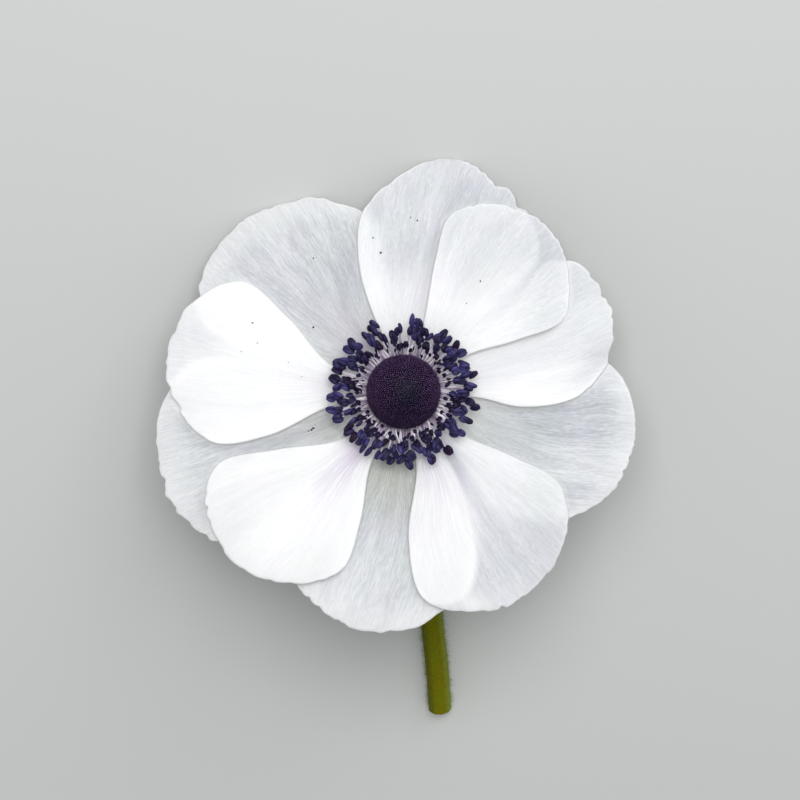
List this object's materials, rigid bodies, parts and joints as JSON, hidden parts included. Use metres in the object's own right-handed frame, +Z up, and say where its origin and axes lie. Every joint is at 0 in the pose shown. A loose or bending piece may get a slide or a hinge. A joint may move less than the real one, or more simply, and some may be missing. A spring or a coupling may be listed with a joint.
{
  "type": "anemone flower",
  "caption": "Picked anemone flower with layered white petals, a ring of dark stamens, a domed head of pistils and a cut green stem.",
  "frame": {"origin": "on the surface that the flower lies on, under the middle of the whole flower with its stem", "axes": "+Z up from the surface; +Y from the stem's cut end towards the head; +X to the right of the flower seen face on with its stem pointing down"},
  "size_m": [0.0804, 0.1108, 0.0389],
  "materials": {
    "petal_white": "matte",
    "stem_green": "matte",
    "stamen_navy": "matte",
    "pistil_purple": "matte"
  },
  "bodies": {
    "root": {"stem": "stem_green", "petal_01": "petal_white", "petal_02": "petal_white", "petal_03": "petal_white", "petal_04": "petal_white", "petal_05": "petal_white", "petal_06": "petal_white", "petal_07": "petal_white", "petal_08": "petal_white", "petal_09": "petal_white", "petal_10": "petal_white", "stamens": "stamen_navy", "pistil_dome": "pistil_purple"}
  },
  "joints": []
}
